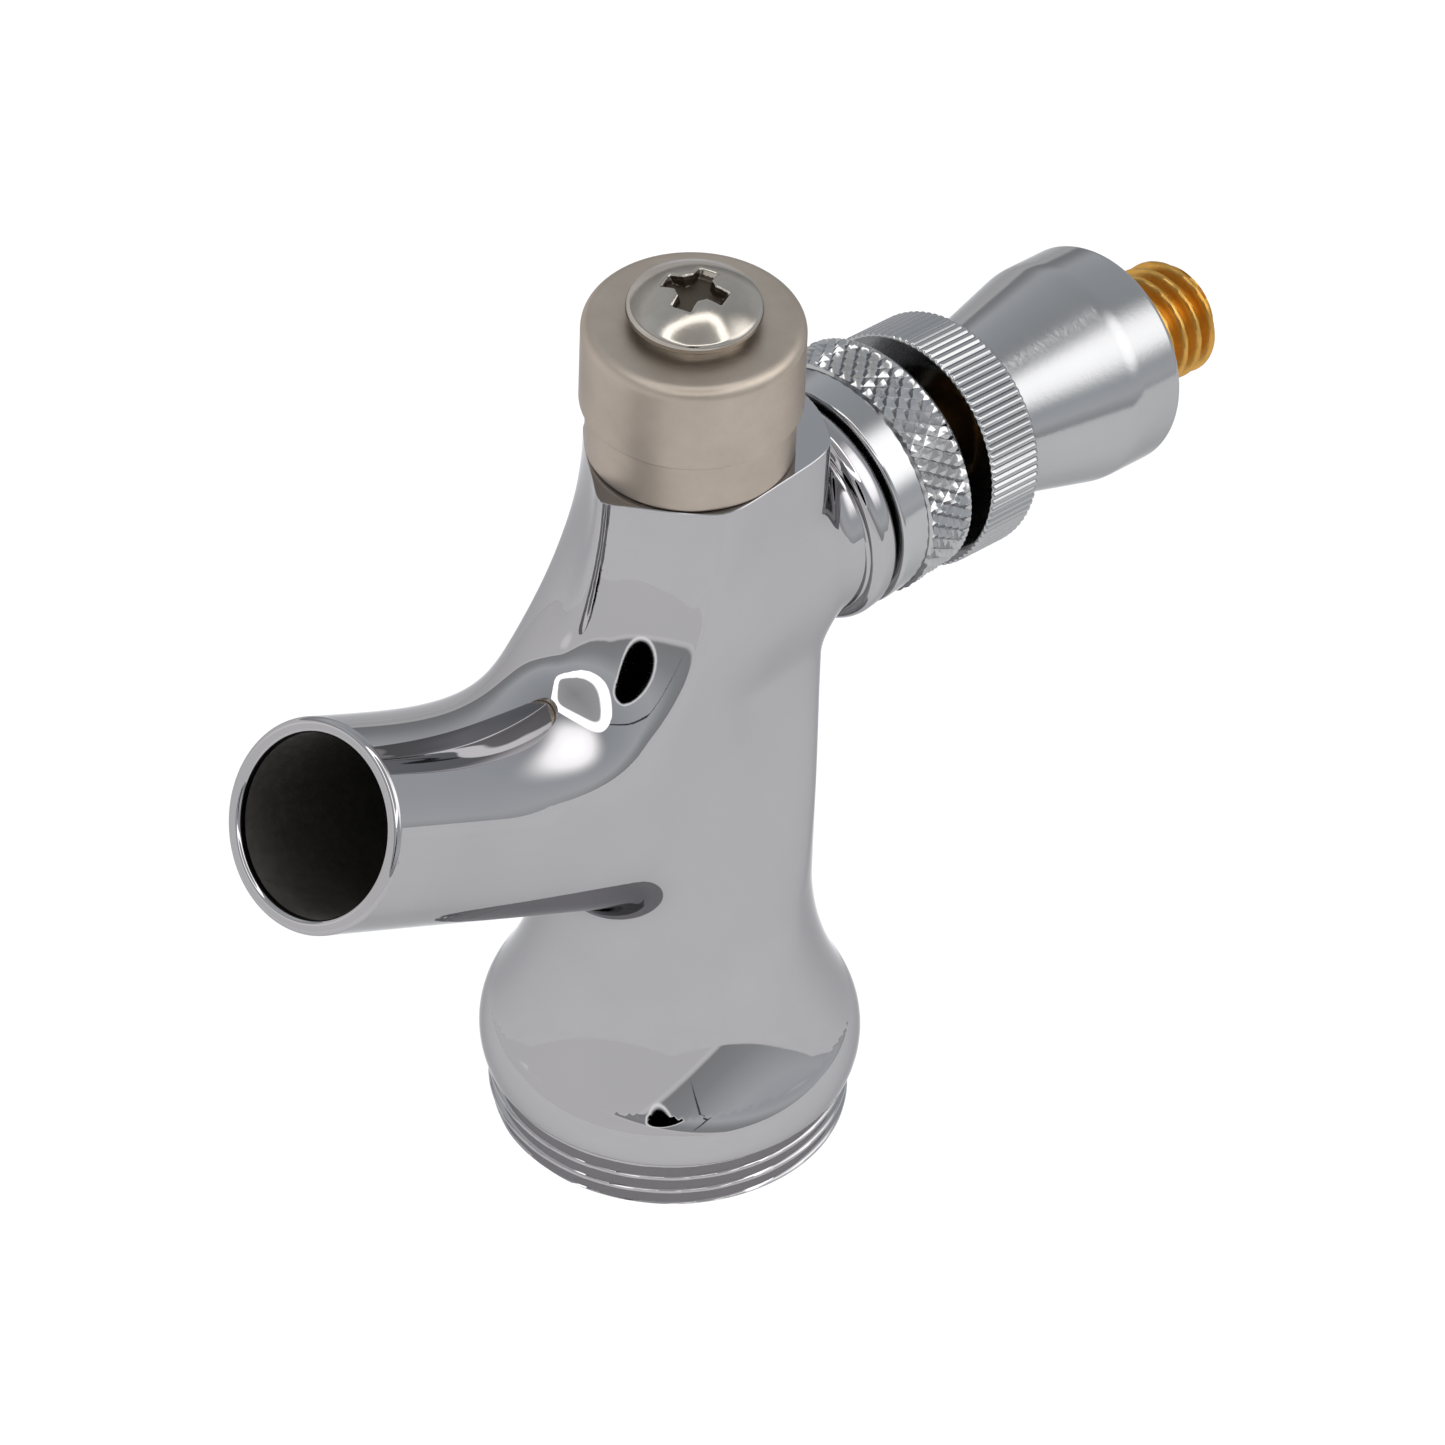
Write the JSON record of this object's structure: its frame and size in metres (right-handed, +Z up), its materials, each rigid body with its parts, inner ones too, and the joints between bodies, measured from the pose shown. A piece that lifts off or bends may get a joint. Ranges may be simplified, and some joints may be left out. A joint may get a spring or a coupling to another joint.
{
  "type": "self-closing beer faucet",
  "caption": "Chromed self-closing draft-beer faucet with an angled spout, a threaded shank end, a ball-jointed lever with a handle stud, and a spring-loaded cap on its valve shaft.",
  "frame": {"origin": "centre of the end face of the threaded inlet end, which the faucet stands on", "axes": "+Z up the body's axis from the inlet end to the spring cap, +Y towards the lever, -Y towards the spout, X across the plane of symmetry"},
  "size_m": [0.0302, 0.1001, 0.0826],
  "materials": {
    "chrome_body": "polished chrome plate on cast brass",
    "chrome_bonnet": "chrome plate over a knurled, turned surface",
    "chrome_collar": "satin-bright chrome plate on a turned surface",
    "stainless_pressed": "satin pressed stainless steel with a warm cast",
    "stainless_screw": "bright stainless steel fastener",
    "stainless_shaft": "turned stainless steel",
    "spring_steel": "drawn stainless spring wire",
    "brass": "bright machined brass",
    "seal_rubber": "black food-grade rubber",
    "nylon": "natural nylon"
  },
  "bodies": {
    "body": {"faucet_body": "chrome_body", "shank_gasket": "seal_rubber", "lever_bushing": "nylon", "ball_washer": "nylon", "friction_washer": "stainless_shaft", "compression_bonnet": "chrome_bonnet", "shaft_guide_bushing": "nylon", "shaft_oring": "seal_rubber", "spring_cup": "stainless_pressed", "closing_spring": "spring_steel"},
    "shaft": {"valve_shaft": "stainless_shaft", "seat_washer": "seal_rubber", "seat_backing_washer": "stainless_shaft", "seat_screw": "stainless_screw", "spring_cap": "stainless_pressed", "cap_lock_washer": "stainless_screw", "cap_screw": "stainless_screw"},
    "lever": {"lever_stem": "brass", "lever_collar": "chrome_collar"}
  },
  "joints": [
    {"name": "lever_tilt", "type": "hinge", "parent": "body", "child": "lever", "pos_m": [0, 0.0145, 0.0535], "axis": [1, 0, 0], "range_deg": [0, 16], "stiffness_Nm_per_rad": 0.315, "springref_deg": -31.61},
    {"name": "shaft_slide", "type": "slide", "parent": "body", "child": "shaft", "axis": [0, 0, 1], "range_m": [-0.0041, 0], "deforming": ["closing_spring"]}
  ],
  "couplings": [
    {"joint": "shaft_slide", "follows": "lever_tilt", "m_per_rad": -0.0145}
  ]
}
